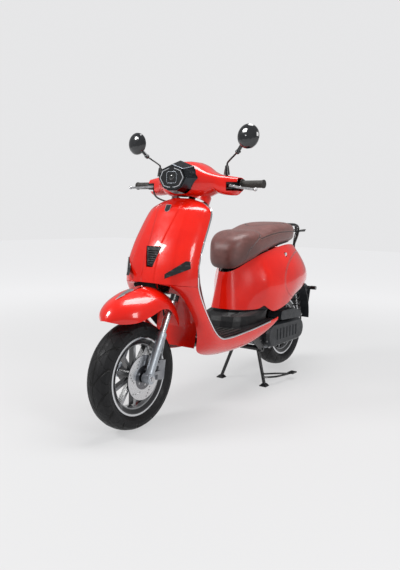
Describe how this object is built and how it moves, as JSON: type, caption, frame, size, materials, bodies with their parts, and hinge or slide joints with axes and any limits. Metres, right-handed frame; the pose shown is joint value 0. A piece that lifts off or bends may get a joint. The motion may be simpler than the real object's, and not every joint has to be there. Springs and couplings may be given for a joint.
{
  "type": "moped scooter",
  "caption": "step-through motor scooter standing on its centre stand, with telescopic fork, disc front brake, swinging engine unit, hinged seat and round mirrors",
  "frame": {"origin": "middle of the footprint on the ground, with the box centred on x and y", "axes": "front of the scooter -Y, rider's left +X, up +Z"},
  "size_m": [0.728, 1.8345, 1.298],
  "materials": {
    "red_paint": "glossy body colour",
    "black_plastic": "moulded black",
    "grey_plastic": "dark grey",
    "black_steel": "satin black",
    "chrome_trim": "bright",
    "cast_alloy": "bare cast",
    "polished_alloy": "satin silver",
    "bearing_steel": "ground",
    "wheel_paint": "gloss black with a polished lip",
    "tyre_rubber": "matte",
    "soft_rubber": "matte",
    "seat_leather": "brown, satin",
    "lens_dark": "smoked",
    "lens_red": "red lens",
    "button_red": "red"
  },
  "bodies": {
    "chassis": {"frame": "black_steel", "head_bearings": "bearing_steel", "leg_shield": "red_paint", "side_skirts": "red_paint", "wheel_well": "red_paint", "shield_inner": "black_plastic", "edge_trim": "chrome_trim", "horn_grille": "black_plastic", "turn_signals": "lens_dark", "floor_board": "black_plastic", "floor_mat": "soft_rubber", "side_cowl_left": "red_paint", "side_cowl_right": "red_paint", "tail_light": "lens_red", "rear_mudguard": "grey_plastic", "grab_rail": "black_steel", "storage_bin": "black_plastic", "fuel_tank": "black_steel"},
    "ignition": {"ignition_lock": "bearing_steel"},
    "seat_latch": {"seat_lock": "bearing_steel"},
    "steering": {"steering_stem": "black_steel", "fork_stanchions": "bearing_steel", "handlebar": "black_steel", "handlebar_cowl": "red_paint", "headlight_bezel": "grey_plastic", "headlight_lens": "lens_dark", "instrument_cluster": "lens_dark", "left_grip": "soft_rubber", "brake_perches": "black_plastic", "front_fender": "red_paint", "fender_strip": "chrome_trim", "brake_hose": "soft_rubber"},
    "throttle": {"throttle_grip": "soft_rubber"},
    "lever_left": {"brake_lever_left": "polished_alloy"},
    "lever_right": {"brake_lever_right": "polished_alloy"},
    "mirror_arm_left": {"mirror_stalk_left": "black_steel"},
    "mirror_arm_right": {"mirror_stalk_right": "black_steel"},
    "mirror_left": {"mirror_head_left": "lens_dark"},
    "mirror_right": {"mirror_head_right": "lens_dark"},
    "starter": {"starter_button": "button_red"},
    "horn": {"horn_button": "black_plastic"},
    "indicator": {"indicator_switch": "black_plastic"},
    "fork_lower": {"fork_sliders": "polished_alloy", "brake_caliper": "cast_alloy", "front_axle": "bearing_steel"},
    "front_wheel": {"front_tyre": "tyre_rubber", "front_rim": "wheel_paint", "brake_disc": "bearing_steel"},
    "power_unit": {"engine_case": "cast_alloy", "cvt_cover": "grey_plastic", "air_box": "grey_plastic", "exhaust": "black_steel"},
    "rear_wheel": {"rear_tyre": "tyre_rubber", "rear_rim": "wheel_paint"},
    "shock_upper": {"shock_body": "black_steel", "shock_spring": "black_steel"},
    "shock_lower": {"shock_rod": "bearing_steel"},
    "stand": {"centre_stand": "black_steel"},
    "seat": {"seat_cushion": "seat_leather", "seat_pan": "black_plastic"}
  },
  "joints": [
    {"name": "steering_turn", "type": "hinge", "parent": "chassis", "child": "steering", "pos_m": [0, -0.771, 0], "axis": [0, 0.4462, 0.8949], "range_deg": [-32, 32]},
    {"name": "front_suspension", "type": "slide", "parent": "steering", "child": "fork_lower", "axis": [0, 0.4462, 0.8949], "range_m": [0, 0.07], "stiffness_N_per_m": 9000, "springref_m": -0.02, "deforming": ["brake_hose"]},
    {"name": "front_wheel_spin", "type": "hinge", "parent": "fork_lower", "child": "front_wheel", "pos_m": [0, -0.686, 0.231], "axis": [1, 0, 0], "continuous": true},
    {"name": "rear_swing", "type": "hinge", "parent": "chassis", "child": "power_unit", "pos_m": [0, 0.219, 0.3], "axis": [1, 0, 0], "range_deg": [0, 8.5], "stiffness_Nm_per_rad": 5200, "springref_deg": -1.72, "deforming": ["shock_spring"]},
    {"name": "rear_wheel_spin", "type": "hinge", "parent": "power_unit", "child": "rear_wheel", "pos_m": [0, 0.624, 0.26], "axis": [1, 0, 0], "continuous": true},
    {"name": "shock_body_tilt", "type": "hinge", "parent": "chassis", "child": "shock_upper", "pos_m": [0.094, 0.61, 0.6], "axis": [1, 0, 0], "range_deg": [0, 3.6]},
    {"name": "shock_rod_tilt", "type": "hinge", "parent": "power_unit", "child": "shock_lower", "pos_m": [0.094, 0.692, 0.306], "axis": [1, 0, 0], "range_deg": [-6, 0]},
    {"name": "stand_fold", "type": "hinge", "parent": "chassis", "child": "stand", "pos_m": [0, 0.249, 0.195], "axis": [1, 0, 0], "range_deg": [0, 58]},
    {"name": "seat_lift", "type": "hinge", "parent": "chassis", "child": "seat", "pos_m": [0, 0.03, 0.622], "axis": [1, 0, 0], "range_deg": [0, 70]},
    {"name": "throttle_twist", "type": "hinge", "parent": "steering", "child": "throttle", "pos_m": [-0.3, -0.2485, 1.048], "axis": [-1, 0, 0], "range_deg": [0, 70], "stiffness_Nm_per_rad": 0.5, "springref_deg": -17.19},
    {"name": "brake_lever_left_pull", "type": "hinge", "parent": "steering", "child": "lever_left", "pos_m": [0.222, -0.2965, 1.04], "axis": [0, 0, 1], "range_deg": [0, 15], "stiffness_Nm_per_rad": 2, "springref_deg": -11.46},
    {"name": "brake_lever_right_pull", "type": "hinge", "parent": "steering", "child": "lever_right", "pos_m": [-0.222, -0.2965, 1.04], "axis": [0, 0, -1], "range_deg": [0, 15], "stiffness_Nm_per_rad": 2, "springref_deg": -11.46},
    {"name": "mirror_arm_left_turn", "type": "hinge", "parent": "steering", "child": "mirror_arm_left", "pos_m": [0.19, -0.282, 1.089], "axis": [0, 0, 1], "range_deg": [-30, 30]},
    {"name": "mirror_arm_right_turn", "type": "hinge", "parent": "steering", "child": "mirror_arm_right", "pos_m": [-0.19, -0.282, 1.089], "axis": [0, 0, 1], "range_deg": [-30, 30]},
    {"name": "mirror_left_tilt", "type": "hinge", "parent": "mirror_arm_left", "child": "mirror_left", "pos_m": [0.256, -0.302, 1.184], "axis": [1, 0, 0], "range_deg": [-10, 10]},
    {"name": "mirror_right_tilt", "type": "hinge", "parent": "mirror_arm_right", "child": "mirror_right", "pos_m": [-0.256, -0.302, 1.184], "axis": [1, 0, 0], "range_deg": [-10, 10]},
    {"name": "starter_press", "type": "slide", "parent": "steering", "child": "starter", "axis": [0, -1, 0], "range_m": [0, 0.003], "stiffness_N_per_m": 400, "springref_m": -0.001},
    {"name": "horn_press", "type": "slide", "parent": "steering", "child": "horn", "axis": [0, -1, 0], "range_m": [0, 0.003], "stiffness_N_per_m": 400, "springref_m": -0.001},
    {"name": "indicator_slide", "type": "slide", "parent": "steering", "child": "indicator", "axis": [1, 0, 0], "range_m": [-0.004, 0.004]},
    {"name": "ignition_turn", "type": "hinge", "parent": "chassis", "child": "ignition", "pos_m": [0.066, -0.338, 0.797], "axis": [0, 0.9781, 0.2079], "range_deg": [0, 90]},
    {"name": "seat_lock_turn", "type": "hinge", "parent": "chassis", "child": "seat_latch", "pos_m": [0.128, 0.392, 0.704], "axis": [1, 0, 0], "range_deg": [0, 90]}
  ],
  "couplings": [
    {"joint": "shock_body_tilt", "follows": "rear_swing", "ratio": 0.372},
    {"joint": "shock_rod_tilt", "follows": "rear_swing", "ratio": -0.628}
  ]
}
